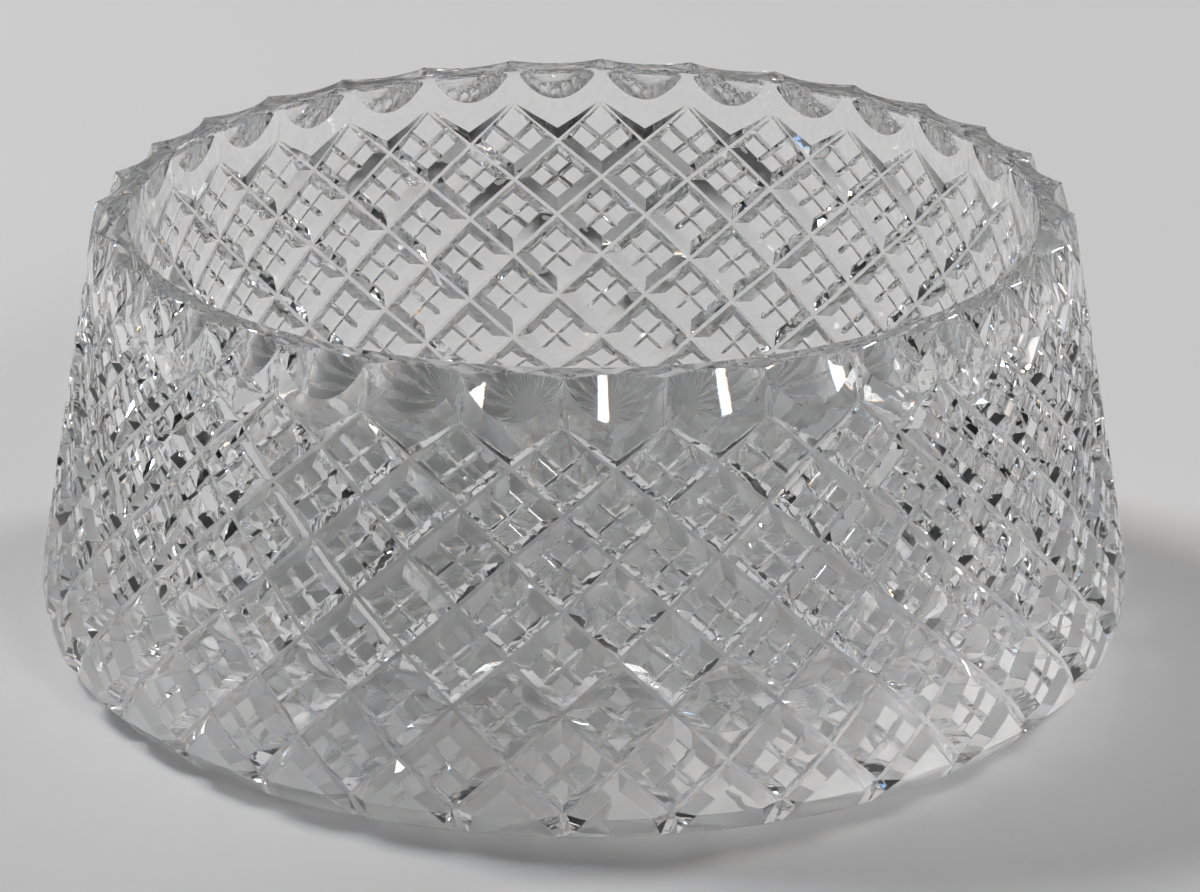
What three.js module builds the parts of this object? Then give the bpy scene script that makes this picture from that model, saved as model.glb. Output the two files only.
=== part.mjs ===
// Cut crystal bowl: one thick blank of clear crystal, plain inside and wheel-cut all over its outside.
// Millimetres, +Z up. The origin is the centre of the flat underside, and the front faces -Y.
import * as THREE from 'three';
import { mergeVertices } from 'three/addons/utils/BufferGeometryUtils.js';

// The blank
const HEIGHT = 95;
const RIM_DIAMETER = 204; // across the points of the scalloped rim
const RIM_WIDTH = 7.6; // flat top of the rim, at a point of the scallop
const BODY_DIAMETER = 230; // widest place, where the wall turns into the heel
const HEEL_HEIGHT = 17.4; // height of the widest place
const FOOT_DIAMETER = 214; // flat underside
const FLOOR_THICKNESS = 13;
const INSIDE_FILLET = 16; // where the upright inside wall meets the floor

// The pattern goes round in equal pitches: each has one lens cut and starts one groove of each hand
const CUT_COUNT = 32;

// Lens cuts, which scallop the rim
const LENS_HEIGHT = 8.7;
const LENS_DEPTH = 3.2; // at the rim
const LENS_CURVE = 1.2; // roundness of the lens's lower edge: 1 a parabola, 2 a half ellipse

// Lattice of mitre grooves, which leaves rows of diamonds
const LATTICE_DROP = 9.6; // from the rim down to the points where the grooves start
const LATTICE_FOOT = 6.8; // from the underside up to the lowest crossings
const LATTICE_ROWS = 8; // rows of crossings below the starting points
const ROW_GROWTH = 1.25; // height of the lowest row over that of the highest
const GROOVE_WIDTH = 5.8;
const GROOVE_DEPTH = 2.4;

// Small cross cut into the flat top of each diamond
const CROSS_WIDTH = 1.6;
const CROSS_DEPTH = 0.7;

// Star of rays under the foot: each starts at a point, widens, and narrows again to the foot's edge
const RAY_START = 12; // radius of the plain disc in the middle
const RAY_MIDDLE = 66; // radius at which the rays are widest
const RAY_GAP = 0.5; // flat left between two rays there
const RAY_END_WIDTH = 3.4; // at the edge of the foot
const RAY_ANGLE = 25; // degrees, slope of a ray's two faces

// How finely curved faces are divided
const LENS_STEPS = 8; // across one lens cut
const FILLET_STEPS = 5;

const PITCH = 2 * Math.PI / CUT_COUNT;
const RIM_RADIUS = RIM_DIAMETER / 2;
const BODY_RADIUS = BODY_DIAMETER / 2;
const FOOT_RADIUS = FOOT_DIAMETER / 2;
const INSIDE_RADIUS = RIM_RADIUS - RIM_WIDTH;

// Corners of all triangles, three by three, counter-clockwise seen from outside the glass
const corners = [];

/** Adds a flat or nearly flat polygon as a fan about its first corner. */
function addFace(first, ...rest) {
  for (let i = 1; i < rest.length; i++) {
    corners.push(first, rest[i - 1], rest[i]);
  }
}

/** Adds the faces between two rows of points, the first row below the second seen from outside. */
function addStrip(lower, upper) {
  for (let i = 1; i < lower.length; i++) {
    addFace(lower[i - 1], lower[i], upper[i], upper[i - 1]);
  }
}

/** A point at a number of pitches round the axis, counted from the front. */
function polar(turn, radius, z) {
  const angle = (turn % CUT_COUNT) * PITCH;
  return new THREE.Vector3(radius * Math.sin(angle), -radius * Math.cos(angle), z);
}

/** Radius of the uncut blank: a straight leaning wall above a rounded heel. */
function blankRadius(z) {
  if (z >= HEEL_HEIGHT) {
    return THREE.MathUtils.mapLinear(z, HEEL_HEIGHT, HEIGHT, BODY_RADIUS, RIM_RADIUS);
  }
  const drop = (HEEL_HEIGHT - z) / HEEL_HEIGHT;
  return THREE.MathUtils.lerp(FOOT_RADIUS, BODY_RADIUS, Math.sqrt(1 - drop * drop));
}

/** A point on the outside, cut to some depth below the blank's surface. */
function cutPoint(turn, z, depth = 0) {
  return polar(turn, blankRadius(z) - depth, z);
}

/** Height of a row of crossings; row 0 holds the points where the grooves start. */
function rowHeight(row) {
  const span = HEIGHT - LATTICE_DROP - LATTICE_FOOT;
  const growth = (ROW_GROWTH - 1) / (LATTICE_ROWS - 1);
  const reach = (rows) => rows + growth * rows * (rows - 1) / 2;
  return HEIGHT - LATTICE_DROP - span * reach(row) / reach(LATTICE_ROWS);
}

/** Alternate rows of crossings are half a pitch apart round the bowl. */
function rowShift(row) {
  return (row % 2) / 2;
}

/** Share of a diamond's width that its flat top keeps between the grooves. */
function tableShare(row) {
  const width = PITCH * blankRadius(rowHeight(row));
  const height = 2 * (rowHeight(row - 1) - rowHeight(row));
  const spacing = width * height / Math.hypot(width, height);
  return { table: 1 - GROOVE_WIDTH / spacing, cross: CROSS_WIDTH / spacing };
}

/** The curved lower edge of a lens cut, and the scalloped edge that it leaves on the rim. */
function lensEdges(pitch) {
  const edge = [];
  const scallop = [];
  for (let i = 0; i <= LENS_STEPS; i++) {
    const turn = pitch + i / LENS_STEPS;
    const across = 2 * i / LENS_STEPS - 1;
    const share = 1 - across * across;
    edge.push(cutPoint(turn, HEIGHT - LENS_HEIGHT * share ** (1 / LENS_CURVE)));
    scallop.push(cutPoint(turn, HEIGHT, LENS_DEPTH * share));
  }
  return { edge, scallop };
}

/** One pitch of the rim: its flat top, the lens cut, and the plain band down to the first grooves. */
function addRimPitch(pitch) {
  const { edge, scallop } = lensEdges(pitch);
  const middle = LENS_STEPS / 2;

  const inside = [0, 0.5, 1].map((step) => polar(pitch + step, INSIDE_RADIUS, HEIGHT));
  addFace(inside[0], ...scallop.slice(0, middle + 1), inside[1]);
  addFace(inside[1], ...scallop.slice(middle), inside[2]);

  for (let i = 1; i <= LENS_STEPS; i++) {
    const lower = [edge[i - 1], edge[i]];
    const upper = [scallop[i - 1], scallop[i]];
    if (i === 1) {
      addFace(lower[0], lower[1], upper[1]);
    } else if (i === LENS_STEPS) {
      addFace(lower[0], lower[1], upper[0]);
    } else {
      addStrip(lower, upper);
    }
  }

  const start = cutPoint(pitch, rowHeight(0));
  const next = cutPoint(pitch + 1, rowHeight(0));
  const { table } = tableShare(1);
  const brink = cutPoint(pitch + 0.5, THREE.MathUtils.lerp(rowHeight(0), rowHeight(1), table));
  const crossing = cutPoint(pitch + 0.5, rowHeight(1), GROOVE_DEPTH);
  addFace(start, brink, ...edge.slice(0, middle + 1).reverse());
  addFace(next, ...edge.slice(middle).reverse(), brink);
  addFace(start, crossing, brink);
  addFace(brink, crossing, next);
}

/**
 * One diamond of the lattice: four slopes rise from the grooves to a flat top, and the cross cut
 * parts the top into four squares. A place on it is given as (s, t), which run from -1 to 1 across
 * the two grooves, so that the corners are right (1, 1), top (-1, 1), left (-1, -1), bottom (1, -1).
 */
function addDiamond(row, pitch) {
  const middle = rowHeight(row);
  const up = rowHeight(row - 1) - middle;
  const down = middle - rowHeight(row + 1);
  const { table, cross } = tableShare(row);
  const place = (s, t, depth = 0) => {
    const rise = (t - s) / 2;
    return cutPoint(pitch + (s + t) / 4, middle + rise * (rise > 0 ? up : down), depth);
  };
  const startsHere = row === 1; // the grooves run out to nothing at the top corners of this row
  const around = [[1, 1], [-1, 1], [-1, -1], [1, -1]].map(([s, t]) => {
    const runOut = startsHere && s < 0 && t > 0;
    return { s, t, reach: runOut ? 1 : table, depth: runOut ? 0 : GROOVE_DEPTH };
  });
  const bottom = place(0, 0, CROSS_DEPTH);

  const sides = around.map((a, i) => {
    const b = around[(i + 1) % 4];
    const along = (share, lift) => {
      const s = THREE.MathUtils.lerp(a.s * lift(a), b.s * lift(b), share);
      const t = THREE.MathUtils.lerp(a.t * lift(a), b.t * lift(b), share);
      return [s, t];
    };
    const onTable = (offset) => along((a.reach + offset) / (a.reach + b.reach), (c) => c.reach);
    const brink = onTable(0);
    const groove = along(0.5, () => 1);
    const sink = CROSS_DEPTH / ((a.depth + b.depth) / 2);
    const tip = brink.map((value, axis) => THREE.MathUtils.lerp(value, groove[axis], sink));
    return {
      corner: place(a.s, a.t, a.depth),
      tableCorner: place(a.s * a.reach, a.t * a.reach),
      runsOut: a.reach === 1,
      near: place(...onTable(-cross)),
      far: place(...onTable(cross)),
      tip: place(...tip, CROSS_DEPTH),
      inner: place(a.s * cross, a.t * cross),
    };
  });

  sides.forEach((side, i) => {
    const next = sides[(i + 1) % 4];
    const last = sides[(i + 3) % 4];
    addFace(side.corner, next.corner, side.tip);
    if (!next.runsOut) {
      addFace(next.corner, next.tableCorner, side.far);
    }
    addFace(next.corner, side.far, side.tip);
    addFace(side.corner, side.tip, side.near);
    if (!side.runsOut) {
      addFace(side.corner, side.near, side.tableCorner);
    }
    addFace(side.tableCorner, side.near, side.inner, last.far);
    addFace(side.near, side.tip, bottom, side.inner);
    addFace(side.tip, side.far, next.inner, bottom);
  });
}

/** One pitch below the lattice: a half diamond, the heel, and half of two rays under the foot. */
function addFootPitch(pitch) {
  const left = pitch + rowShift(LATTICE_ROWS);
  const { table } = tableShare(LATTICE_ROWS);
  const top = rowHeight(LATTICE_ROWS - 1);
  const heel = rowHeight(LATTICE_ROWS);
  const crossings = [left, left + 1].map((turn) => cutPoint(turn, heel, GROOVE_DEPTH));
  const flat = [-0.5, 0, 0.5].map((step) => cutPoint(left + 0.5 + step * table, heel));
  const peak = cutPoint(left + 0.5, top, GROOVE_DEPTH);
  const brink = cutPoint(left + 0.5, THREE.MathUtils.lerp(heel, top, table));
  addFace(crossings[0], flat[0], brink, peak);
  addFace(crossings[1], peak, brink, flat[2]);
  addFace(brink, ...flat);

  const steepness = Math.tan(THREE.MathUtils.degToRad(RAY_ANGLE));
  const endDepth = RAY_END_WIDTH / 2 * steepness;
  const notchRadius = THREE.MathUtils.mapLinear(
    endDepth, 0, LATTICE_FOOT, FOOT_RADIUS, blankRadius(LATTICE_FOOT) - GROOVE_DEPTH);
  const notches = [left, left + 1].map((turn) => polar(turn, notchRadius, endDepth));
  const halfEnd = RAY_END_WIDTH / 2 / (FOOT_RADIUS * PITCH);
  const foot = [halfEnd, 0.5, 1 - halfEnd].map((step) => polar(left + step, FOOT_RADIUS, 0));
  addStrip([notches[0], ...foot, notches[1]], [crossings[0], ...flat, crossings[1]]);

  const halfMiddle = RAY_MIDDLE * Math.tan(PITCH / 2) - RAY_GAP / 2;
  const middleTurn = halfMiddle / (RAY_MIDDLE * PITCH);
  const tips = [left, left + 1].map((turn) => polar(turn, RAY_START, 0));
  const beds = [left, left + 1].map((turn) => polar(turn, RAY_MIDDLE, halfMiddle * steepness));
  const banks = [middleTurn, 1 - middleTurn].map((step) => polar(left + step, RAY_MIDDLE, 0));
  addFace(tips[0], banks[0], beds[0]);
  addFace(beds[0], banks[0], foot[0], notches[0]);
  addFace(tips[1], beds[1], banks[1]);
  addFace(beds[1], notches[1], foot[2], banks[1]);
  addFace(banks[0], banks[1], ...foot.slice().reverse());
  addFace(tips[0], tips[1], banks[1], banks[0]);
  addFace(new THREE.Vector3(), tips[1], tips[0]);
}

/** One pitch of the plain inside: an upright wall, a fillet and a flat floor. */
function addInsidePitch(pitch) {
  const profile = [[INSIDE_RADIUS, HEIGHT]];
  for (let i = 0; i <= FILLET_STEPS; i++) {
    const angle = i / FILLET_STEPS * Math.PI / 2;
    profile.push([
      INSIDE_RADIUS - INSIDE_FILLET * (1 - Math.cos(angle)),
      FLOOR_THICKNESS + INSIDE_FILLET * (1 - Math.sin(angle)),
    ]);
  }
  const rows = profile.map(([radius, z]) => [0, 0.5, 1].map((step) => polar(pitch + step, radius, z)));
  for (let i = 1; i < rows.length; i++) {
    addStrip(rows[i - 1], rows[i]);
  }
  addFace(new THREE.Vector3(0, 0, FLOOR_THICKNESS), ...rows[rows.length - 1]);
}

for (let pitch = 0; pitch < CUT_COUNT; pitch++) {
  addRimPitch(pitch);
  for (let row = 1; row < LATTICE_ROWS; row++) {
    addDiamond(row, pitch + rowShift(row) + 0.5);
  }
  addFootPitch(pitch);
  addInsidePitch(pitch);
}

const crystal = new THREE.MeshStandardMaterial({ color: 0xd9dcde, roughness: 0.04, metalness: 0 });
const shape = mergeVertices(new THREE.BufferGeometry().setFromPoints(corners));
const bowl = new THREE.Mesh(shape, crystal);
bowl.name = 'crystal_bowl';

const group = new THREE.Group();
group.add(bowl);

export default group;
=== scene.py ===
import math
import random

import bpy
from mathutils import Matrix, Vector


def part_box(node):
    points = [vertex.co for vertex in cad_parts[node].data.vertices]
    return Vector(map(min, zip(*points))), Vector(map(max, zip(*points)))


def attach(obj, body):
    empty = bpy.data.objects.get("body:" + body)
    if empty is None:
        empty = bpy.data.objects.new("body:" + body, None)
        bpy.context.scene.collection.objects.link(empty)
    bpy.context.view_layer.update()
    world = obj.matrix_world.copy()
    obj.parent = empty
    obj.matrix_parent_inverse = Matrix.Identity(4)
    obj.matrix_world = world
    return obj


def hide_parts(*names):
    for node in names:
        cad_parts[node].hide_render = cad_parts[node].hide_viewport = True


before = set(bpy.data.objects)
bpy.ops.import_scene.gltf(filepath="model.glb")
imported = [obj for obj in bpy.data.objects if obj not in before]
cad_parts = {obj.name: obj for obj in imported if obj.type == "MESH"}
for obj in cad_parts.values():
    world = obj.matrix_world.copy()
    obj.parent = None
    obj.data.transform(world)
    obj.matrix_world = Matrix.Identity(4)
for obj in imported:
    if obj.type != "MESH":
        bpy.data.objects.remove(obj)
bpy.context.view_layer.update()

# Sizes, in metres. The height and the widest radius come from the frame.
MM = 0.001
SHARED_PER_METRE = 1e6  # points that agree to a thousandth of a millimetre are one point
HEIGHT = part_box("crystal_bowl")[1].z
BODY_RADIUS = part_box("crystal_bowl")[1].x
RIM_RADIUS = 102 * MM
RIM_WIDTH = 7.6 * MM
HEEL_HEIGHT = 17.4 * MM
FOOT_RADIUS = 107 * MM
FLOOR_THICKNESS = 13 * MM
INSIDE_FILLET = 16 * MM
INSIDE_RADIUS = RIM_RADIUS - RIM_WIDTH
RIM_ROUND = 1.0 * MM  # soft inner edge of the rim
EDGE_SOFT = 0.15 * MM  # width of the polish on every other edge
SOLE_INSET = 3 * EDGE_SOFT  # from the foot's edge to where the underside is flat

# The cut pattern: pitches round the bowl, each with one lens cut
CUT_COUNT = 32
PITCH = 2 * math.pi / CUT_COUNT
LENS_HEIGHT = 8.7 * MM
LENS_DEPTH = 3.2 * MM
LENS_CURVE = 1.2  # 1 for a straight slope up the lens cut, 2 for a round hollow
LATTICE_TOP = HEIGHT - 9.6 * MM
LATTICE_FOOT = 6.8 * MM
LATTICE_ROWS = 8
ROW_GROWTH = 1.25
GROOVE_DEPTH = 2.4 * MM
GROOVE_START = 0.04  # share of that depth at the points where the grooves start
CROSS_DEPTH = 0.7 * MM
RAY_START = 12 * MM
RAY_MIDDLE = 66 * MM  # where the rays of the star are widest and meet
RAY_GAP = 0.5 * MM  # flat left between two rays there
RAY_END_WIDTH = 3.4 * MM
RAY_SLOPE = math.radians(25)

# Parts of a diamond, as shares of the way from its middle to the groove beside it
TABLE = 0.60  # edge of the flat top
CROSS = 0.11  # edge of the small cross cut
GROOVE_FLAT = 0.06  # half width of the groove's narrow floor
SOFT = 0.016  # half width of the polish on the edges

# Small errors of the hand that cut it
CUT_SEED = 7
CUT_WANDER = 0.30 * MM
CUT_DEPTH_ERROR = 0.05

# How finely curved faces are divided
LENS_COLUMNS = 24
LENS_ROWS = (0.05, 0.35, 0.68)
INSIDE_COLUMNS = 8
FILLET_ROWS = 12
FLAT_ROWS = 8  # rings of the inside floor, so that the fillet's soft shading stays near it
RIM_ROUND_ROWS = 4
SHARP_ANGLE = math.radians(9)

# Crystal: its two finishes, by their material slots, and how they look
POLISHED = 0
SATIN = 1
CRYSTAL_IOR = 1.55
POLISHED_ROUGHNESS = (0.0, 0.02)  # least and most
SATIN_ROUGHNESS = (0.46, 0.58)
CLEAR_TINT = (1.0, 1.0, 1.0, 1)
DULL_TINT = (0.975, 0.985, 0.98, 1)
DULL_SCALE = 45  # patches that handling and washing leave a little less bright
DULL_DETAIL = 5
DULL_FROM = 0.50  # of the noise
DULL_TO = 0.70
WAVE_SCALE = 140  # the faint waves that polishing leaves
WAVE_DETAIL = 2
WAVE_STRENGTH = 0.05

# Floor and light
FLOOR_RADIUS = 6
FLOOR_SIDES = 128
FLOOR_TONE = 0.60
FLOOR_ROUGHNESS = 0.6
FLOOR_GAP = 0.2 * MM  # the air that stays between the ground foot and what it stands on
FRINGE_SHARE = 0.05  # part of a soft box's width
FRINGE_WARM = (1.0, 0.60, 0.25)
FRINGE_COOL = (0.30, 0.55, 1.0)
LAMP_AIM = (0, 0, 0.05)
LAMPS = (  # name, place, width and height, power
    ("key", (-1.35, 0.6, 1.75), (0.6, 0.6), 41),
    ("fill", (1.55, 0.9, 1.3), (0.45, 0.45), 20),
    ("front", (0.9, -2.0, 1.5), (0.5, 0.5), 16),
)
ROOM = (  # from which rise of the view to which (0 level, 1 overhead), and the grey at both; they add up
    ((0.02, 0.12), (0.30, 0.01)),
    ((0.60, 1.00), (0.00, 0.12)),
)

GLASS_BOUNCES = 32
MIRROR_BOUNCES = 16

# Camera fitted to the photograph
PHOTO_WIDTH = 1200
SENSOR_WIDTH = 36
CAMERA_FOCAL_PIXELS = 6298
CAMERA_DISTANCE = 13.05 * RIM_RADIUS
CAMERA_ELEVATION = math.radians(21.22)
CAMERA_AZIMUTH = math.radians(2.06)
CAMERA_TARGET_HEIGHT = 0.409 * RIM_RADIUS
CAMERA_TARGET_ASIDE = 0.033 * RIM_RADIUS


class Shape:
    """Vertices and triangles of one closed mesh; points that fall together are shared."""

    def __init__(self):
        self.points = []
        self.faces = []
        self.finishes = []
        self.finish = POLISHED
        self.known = {}

    def add(self, point):
        key = tuple(round(value * SHARED_PER_METRE) for value in point)
        if key not in self.known:
            self.known[key] = len(self.points)
            self.points.append(tuple(point))
        return self.known[key]

    def triangle(self, a, b, c):
        if a != b and b != c and c != a:
            self.faces.append((a, b, c))
            self.finishes.append(self.finish)

    def stitch(self, lower, upper):
        """Joins two rows of (turn, vertex), both from left to right seen from outside."""
        i = j = 0
        while i + 1 < len(lower) or j + 1 < len(upper):
            step_lower = j + 1 == len(upper) or (
                i + 1 < len(lower) and lower[i + 1][0] + lower[i][0] <= upper[j + 1][0] + upper[j][0]
            )
            if step_lower:
                self.triangle(lower[i][1], lower[i + 1][1], upper[j][1])
                i += 1
            else:
                self.triangle(lower[i][1], upper[j + 1][1], upper[j][1])
                j += 1

    def fan(self, centre, row):
        for first, second in zip(row, row[1:]):
            self.triangle(centre, first[1], second[1])


def polar(turn, radius, z):
    angle = turn * PITCH
    return (radius * math.sin(angle), -radius * math.cos(angle), z)


def mix(a, b, share):
    return a + (b - a) * share


def blank_radius(z):
    """Radius of the blank before it was cut."""
    if z >= HEEL_HEIGHT:
        return mix(BODY_RADIUS, RIM_RADIUS, (z - HEEL_HEIGHT) / (HEIGHT - HEEL_HEIGHT))
    drop = (HEEL_HEIGHT - z) / HEEL_HEIGHT
    return mix(FOOT_RADIUS, BODY_RADIUS, math.sqrt(1 - drop * drop))


def row_height(row):
    """Height of a row of groove crossings; row 0 is where the grooves start."""
    growth = (ROW_GROWTH - 1) / (LATTICE_ROWS - 1)

    def reach(rows):
        return rows + growth * rows * (rows - 1) / 2

    return LATTICE_TOP - (LATTICE_TOP - LATTICE_FOOT) * reach(row) / reach(LATTICE_ROWS)


def row_shift(row):
    return (row % 2) / 2


def hand_cut_crossings():
    """Where each pair of grooves crosses: (turn, height, share of the full depth)."""
    draw = random.Random(CUT_SEED)
    crossings = {}
    for row in range(LATTICE_ROWS + 1):
        ends = row in (0, LATTICE_ROWS)
        for index in range(CUT_COUNT):
            aside = draw.uniform(-1, 1) * CUT_WANDER / (PITCH * BODY_RADIUS)
            lift = 0 if ends else draw.uniform(-1, 1) * CUT_WANDER
            depth = GROOVE_START if row == 0 else 1 + draw.uniform(-1, 1) * CUT_DEPTH_ERROR
            crossings[row, index] = (row_shift(row) + aside, row_height(row) + lift, depth)
    return crossings


def crossing_at(crossings, row, index):
    aside, height, depth = crossings[row, index % CUT_COUNT]
    return (index + aside, height, depth)


def diamond_knots():
    """Where the faces of a diamond meet, from one groove to the other."""
    slope = 1 - TABLE - GROOVE_FLAT
    tip = TABLE + slope * CROSS_DEPTH / GROOVE_DEPTH
    half = [CROSS - SOFT, CROSS + SOFT, TABLE - SOFT, TABLE + SOFT, tip, 1 - GROOVE_FLAT, 1]
    return [-knot for knot in reversed(half)] + [0] + half


def spread(knot, depth):
    """Moves a knot so that a shallower groove is also narrower."""
    size = abs(knot)
    kept = CROSS + SOFT
    edge = 1 - (1 - TABLE) * depth
    if size > TABLE:
        size = 1 - (1 - size) * depth
    elif size > kept:
        size = mix(kept, edge, (size - kept) / (TABLE - kept))
    return math.copysign(size, knot)


def groove_cut(knot, depth):
    share = (abs(knot) - TABLE) / (1 - TABLE - GROOVE_FLAT)
    return GROOVE_DEPTH * depth * max(0, min(1, share))


def cross_cut(knot):
    return CROSS_DEPTH * max(0, 1 - abs(knot) / CROSS)


def add_diamond(shape, crossings, row, index):
    """Adds one diamond, or the half of it that the band or the heel leaves, and returns its level line."""
    left = crossing_at(crossings, row, index)
    right = crossing_at(crossings, row, index + 1)
    middle = index + row_shift(row) + 0.5
    if row > 0:
        top = crossing_at(crossings, row - 1, round(middle - row_shift(row - 1)))
    if row < LATTICE_ROWS:
        bottom = crossing_at(crossings, row + 1, round(middle - row_shift(row + 1)))
    if row == 0:
        top = (bottom[0], 2 * left[1] - bottom[1], bottom[2])
    if row == LATTICE_ROWS:
        bottom = (top[0], 2 * left[1] - top[1], top[2])
    half = {0: -1, LATTICE_ROWS: 1}.get(row, 0)
    knots = diamond_knots()

    def vertex(s, t):
        side = (left[2], top[2]) if s < 0 else (bottom[2], right[2])
        end = (top[2], right[2]) if t > 0 else (left[2], bottom[2])
        near_s, near_t = s, t
        s = spread(near_s, mix(*side, (near_t + 1) / 2))
        t = spread(near_t, mix(*end, (near_s + 1) / 2))
        depth = max(groove_cut(near_s, mix(*side, (t + 1) / 2)), groove_cut(near_t, mix(*end, (s + 1) / 2)))
        if half == 0:
            depth = max(depth, cross_cut(near_s), cross_cut(near_t))
        weights = ((1 + s) * (1 + t), (1 - s) * (1 + t), (1 - s) * (1 - t), (1 + s) * (1 - t))
        corners = (right, top, left, bottom)
        turn = sum(w * corner[0] for w, corner in zip(weights, corners)) / 4
        z = sum(w * corner[1] for w, corner in zip(weights, corners)) / 4
        return (turn, shape.add(polar(turn, blank_radius(z) - depth, z)))

    grid = {}
    for i, s in enumerate(knots):
        for j, t in enumerate(knots):
            if half * (j - i) >= 0:
                grid[i, j] = vertex(s, t)
    last = len(knots) - 1
    for i in range(last):
        for j in range(last):
            cell = [(i, j), (i + 1, j), (i + 1, j + 1), (i, j + 1)]
            same_sign = (2 * i + 1 > last) == (2 * j + 1 > last)
            on_mitre = i == j or i + j == last - 1
            if same_sign != on_mitre:
                cell = cell[1:] + cell[:1]
            on_floor = {i, j} & {0, last - 1}
            shape.finish = SATIN if on_floor else POLISHED
            for corners in (cell[:3], [cell[0]] + cell[2:]):
                if all(corner in grid for corner in corners):
                    shape.triangle(*[grid[corner][1] for corner in corners])
    shape.finish = POLISHED
    return [grid[i, i] for i in range(last + 1)] if half else None


def lens_row(shape, index, rise, inward=0.0, drop=0.0):
    """A row of points on one lens cut, from its lower edge (rise 0) to the rim (rise 1)."""
    row = []
    for column in range(LENS_COLUMNS + 1):
        across = 2 * column / LENS_COLUMNS - 1
        width = 1 - across * across
        depth = LENS_DEPTH * width * (1 - (1 - rise) ** LENS_CURVE) + inward
        z = HEIGHT - LENS_HEIGHT * width ** (1 / LENS_CURVE) * (1 - rise) - drop
        turn = index + column / LENS_COLUMNS
        row.append((turn, shape.add(polar(turn, blank_radius(min(z, HEIGHT)) - depth, z))))
    return row


def inside_row(shape, index, radius, z):
    turns = [index + column / INSIDE_COLUMNS for column in range(INSIDE_COLUMNS + 1)]
    return [(turn, shape.add(polar(turn, radius, z))) for turn in turns]


def add_rim(shape, index, level_line):
    """The plain band, the lens cut and the flat top of the rim, over one pitch."""
    rows = [level_line, lens_row(shape, index, 0.0)]
    rows += [lens_row(shape, index, rise) for rise in LENS_ROWS]
    rows.append(lens_row(shape, index, 1.0, drop=EDGE_SOFT))
    rows.append(lens_row(shape, index, 1.0, inward=EDGE_SOFT))
    rows.append(inside_row(shape, index, INSIDE_RADIUS + RIM_ROUND, HEIGHT))
    for lower, upper in zip(rows, rows[1:]):
        shape.stitch(lower, upper)


def add_inside(shape, index):
    """The plain inside: a soft rim edge, an upright wall, a fillet and a flat floor."""
    profile = []
    for step in range(RIM_ROUND_ROWS + 1):
        angle = step / RIM_ROUND_ROWS * math.pi / 2
        profile.append((
            INSIDE_RADIUS + RIM_ROUND * (1 - math.sin(angle)),
            HEIGHT - RIM_ROUND * (1 - math.cos(angle)),
        ))
    for step in range(FILLET_ROWS + 1):
        angle = step / FILLET_ROWS * math.pi / 2
        profile.append((
            INSIDE_RADIUS - INSIDE_FILLET * (1 - math.cos(angle)),
            FLOOR_THICKNESS + INSIDE_FILLET * (1 - math.sin(angle)),
        ))
    flat_radius = INSIDE_RADIUS - INSIDE_FILLET
    for step in range(1, FLAT_ROWS):
        profile.append((flat_radius * (1 - step / FLAT_ROWS), FLOOR_THICKNESS))
    rows = [inside_row(shape, index, radius, z) for radius, z in profile]
    for outer, inner in zip(rows, rows[1:]):
        shape.stitch(outer, inner)
    shape.fan(shape.add((0, 0, FLOOR_THICKNESS)), rows[-1])


def add_foot(shape, level_line):
    """The heel below the lattice, and half of each of two rays of the star under the foot."""
    start = level_line[0][0]
    end = level_line[-1][0]
    half_end = RAY_END_WIDTH / 2
    half_middle = RAY_MIDDLE * math.tan(PITCH / 2) - RAY_GAP / 2
    end_depth = half_end * math.tan(RAY_SLOPE)
    middle_depth = half_middle * math.tan(RAY_SLOPE)
    end_turn = half_end / (FOOT_RADIUS * PITCH)
    middle_turn = half_middle / (RAY_MIDDLE * PITCH)
    turns = [start, start + end_turn, start + 0.5, end - end_turn, end]
    heights = [end_depth, 0, 0, 0, end_depth]
    bevel = [mix(FOOT_RADIUS, blank_radius(LATTICE_FOOT), z / LATTICE_FOOT) for z in heights]
    edge = []
    sole = []
    for turn, radius, z in zip(turns, bevel, heights):
        soft = EDGE_SOFT if z == 0 else 0
        edge.append((turn, shape.add(polar(turn, radius - soft, z + soft))))
        sole.append((turn, shape.add(polar(turn, radius - SOLE_INSET, z))))
    shape.stitch(edge, level_line)
    shape.finish = SATIN
    shape.stitch(sole, edge)
    tips = [shape.add(polar(turn, RAY_START, 0)) for turn in (start, end)]
    beds = [shape.add(polar(turn, RAY_MIDDLE, middle_depth)) for turn in (start, end)]
    brinks = [
        shape.add(polar(start + middle_turn, RAY_MIDDLE, 0)),
        shape.add(polar(end - middle_turn, RAY_MIDDLE, 0)),
    ]
    sole = [point[1] for point in sole]
    shape.triangle(tips[0], brinks[0], beds[0])
    shape.triangle(beds[0], brinks[0], sole[1])
    shape.triangle(beds[0], sole[1], sole[0])
    shape.triangle(tips[1], beds[1], brinks[1])
    shape.triangle(brinks[1], beds[1], sole[4])
    shape.triangle(brinks[1], sole[4], sole[3])
    shape.triangle(brinks[0], sole[2], sole[1])
    shape.triangle(brinks[0], brinks[1], sole[2])
    shape.triangle(brinks[1], sole[3], sole[2])
    shape.triangle(tips[0], tips[1], brinks[0])
    shape.triangle(tips[1], brinks[1], brinks[0])
    shape.triangle(shape.add((0, 0, 0)), tips[1], tips[0])
    shape.finish = POLISHED


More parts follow.
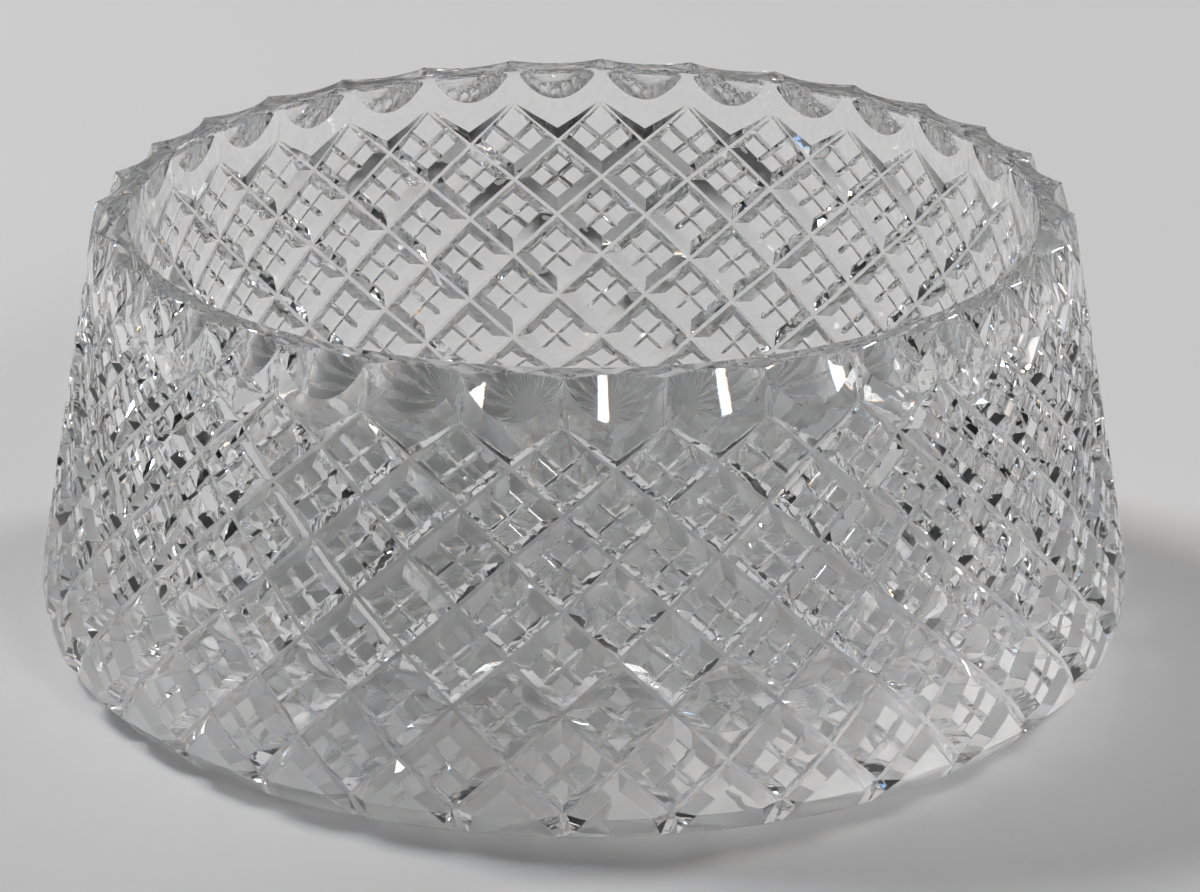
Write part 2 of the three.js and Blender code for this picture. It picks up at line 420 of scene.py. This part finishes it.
def make_bowl():
    shape = Shape()
    crossings = hand_cut_crossings()
    for index in range(CUT_COUNT):
        add_rim(shape, index, add_diamond(shape, crossings, 0, index))
        for row in range(1, LATTICE_ROWS):
            add_diamond(shape, crossings, row, index)
        add_foot(shape, add_diamond(shape, crossings, LATTICE_ROWS, index))
        add_inside(shape, index)
    mesh = bpy.data.meshes.new("crystal_bowl_cut")
    mesh.from_pydata(shape.points, [], shape.faces)
    mesh.polygons.foreach_set("material_index", shape.finishes)
    mesh.validate()
    mesh.shade_smooth()
    mesh.set_sharp_from_angle(angle=SHARP_ANGLE)
    bowl = bpy.data.objects.new("crystal_bowl_cut", mesh)
    bpy.context.collection.objects.link(bowl)
    return bowl


def crystal_material(name, roughness):
    """Clear crystal, with the faint waves that polishing leaves and patches that wear has dulled."""
    material = bpy.data.materials.new(name)
    material.use_nodes = True
    nodes = material.node_tree.nodes
    links = material.node_tree.links
    glass = nodes["Principled BSDF"]
    glass.inputs["IOR"].default_value = CRYSTAL_IOR
    glass.inputs["Transmission Weight"].default_value = 1
    place = nodes.new("ShaderNodeTexCoord")

    waves = nodes.new("ShaderNodeTexNoise")
    waves.inputs["Scale"].default_value = WAVE_SCALE
    waves.inputs["Detail"].default_value = WAVE_DETAIL
    bump = nodes.new("ShaderNodeBump")
    bump.inputs["Strength"].default_value = WAVE_STRENGTH
    bump.inputs["Distance"].default_value = MM
    links.new(place.outputs["Object"], waves.inputs["Vector"])
    links.new(waves.outputs["Fac"], bump.inputs["Height"])
    links.new(bump.outputs["Normal"], glass.inputs["Normal"])

    patches = nodes.new("ShaderNodeTexNoise")
    patches.inputs["Scale"].default_value = DULL_SCALE
    patches.inputs["Detail"].default_value = DULL_DETAIL
    links.new(place.outputs["Object"], patches.inputs["Vector"])
    dull = nodes.new("ShaderNodeMapRange")
    dull.inputs["From Min"].default_value = DULL_FROM
    dull.inputs["From Max"].default_value = DULL_TO
    dull.inputs["To Min"].default_value, dull.inputs["To Max"].default_value = roughness
    links.new(patches.outputs["Fac"], dull.inputs["Value"])
    links.new(dull.outputs["Result"], glass.inputs["Roughness"])
    tint = nodes.new("ShaderNodeValToRGB")
    tint.color_ramp.elements[0].position = DULL_FROM
    tint.color_ramp.elements[0].color = CLEAR_TINT
    tint.color_ramp.elements[1].position = DULL_TO
    tint.color_ramp.elements[1].color = DULL_TINT
    links.new(patches.outputs["Fac"], tint.inputs["Fac"])
    links.new(tint.outputs["Color"], glass.inputs["Base Color"])
    return material


def make_floor():
    bpy.ops.mesh.primitive_circle_add(vertices=FLOOR_SIDES, radius=FLOOR_RADIUS, fill_type="NGON")
    floor = bpy.context.object
    floor.name = "floor"
    material = bpy.data.materials.new("pale_floor")
    material.use_nodes = True
    surface = material.node_tree.nodes["Principled BSDF"]
    surface.inputs["Base Color"].default_value = (FLOOR_TONE, FLOOR_TONE, FLOOR_TONE, 1)
    surface.inputs["Roughness"].default_value = FLOOR_ROUGHNESS
    floor.data.materials.append(material)
    floor.location.z = -FLOOR_GAP


def add_lamp(name, place, size, power):
    """A soft box; its two narrow side strips are warm and cool, which gives the glints prismatic edges."""
    aim = Vector(LAMP_AIM) - Vector(place)
    turn = aim.to_track_quat("-Z", "Y")
    wide = size[0] * (1 - 2 * FRINGE_SHARE)
    narrow = size[0] * FRINGE_SHARE
    strips = (
        ("", 0, wide, (1, 1, 1)),
        ("_warm", -(wide + narrow) / 2, narrow, FRINGE_WARM),
        ("_cool", (wide + narrow) / 2, narrow, FRINGE_COOL),
    )
    for suffix, aside, width, colour in strips:
        light = bpy.data.lights.new(name + suffix, "AREA")
        light.shape = "RECTANGLE"
        light.size, light.size_y = width, size[1]
        light.energy = power * width / size[0]
        light.color = colour
        lamp = bpy.data.objects.new(name + suffix, light)
        lamp.location = Vector(place) + turn @ Vector((aside, 0, 0))
        lamp.rotation_euler = turn.to_euler()
        bpy.context.collection.objects.link(lamp)


def light_scene():
    """Three soft boxes in a dim grey room with a pale horizon."""
    for lamp in LAMPS:
        add_lamp(*lamp)
    world = bpy.data.worlds.new("studio")
    bpy.context.scene.world = world
    world.use_nodes = True
    nodes = world.node_tree.nodes
    links = world.node_tree.links
    place = nodes.new("ShaderNodeTexCoord")
    axes = nodes.new("ShaderNodeSeparateXYZ")
    links.new(place.outputs["Generated"], axes.inputs[0])
    parts = []
    for heights, tones in ROOM:
        part = nodes.new("ShaderNodeMapRange")
        part.interpolation_type = "SMOOTHSTEP"
        part.inputs["From Min"].default_value, part.inputs["From Max"].default_value = heights
        part.inputs["To Min"].default_value, part.inputs["To Max"].default_value = tones
        links.new(axes.outputs["Z"], part.inputs["Value"])
        parts.append(part.outputs["Result"])
    both = nodes.new("ShaderNodeMath")
    links.new(parts[0], both.inputs[0])
    links.new(parts[1], both.inputs[1])
    links.new(both.outputs["Value"], nodes["Background"].inputs["Color"])


def make_camera():
    data = bpy.data.cameras.new("camera")
    data.sensor_width = SENSOR_WIDTH
    data.lens = SENSOR_WIDTH * CAMERA_FOCAL_PIXELS / PHOTO_WIDTH
    camera = bpy.data.objects.new("camera", data)
    aside = Vector((math.cos(CAMERA_AZIMUTH), math.sin(CAMERA_AZIMUTH), 0))
    back = Vector((math.sin(CAMERA_AZIMUTH), -math.cos(CAMERA_AZIMUTH), 0))
    target = aside * CAMERA_TARGET_ASIDE + Vector((0, 0, CAMERA_TARGET_HEIGHT))
    offset = back * math.cos(CAMERA_ELEVATION) + Vector((0, 0, math.sin(CAMERA_ELEVATION)))
    camera.location = target + offset * CAMERA_DISTANCE
    camera.rotation_euler = (-offset).to_track_quat("-Z", "Y").to_euler()
    bpy.context.collection.objects.link(camera)
    bpy.context.scene.camera = camera


bowl = make_bowl()
bowl.data.materials.append(crystal_material("polished_crystal", POLISHED_ROUGHNESS))
bowl.data.materials.append(crystal_material("satin_crystal", SATIN_ROUGHNESS))
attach(bowl, "root")
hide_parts("crystal_bowl")
make_floor()
light_scene()
make_camera()

scene = bpy.context.scene
scene.view_settings.view_transform = "Standard"
scene.cycles.max_bounces = GLASS_BOUNCES
scene.cycles.transmission_bounces = GLASS_BOUNCES
scene.cycles.glossy_bounces = MIRROR_BOUNCES
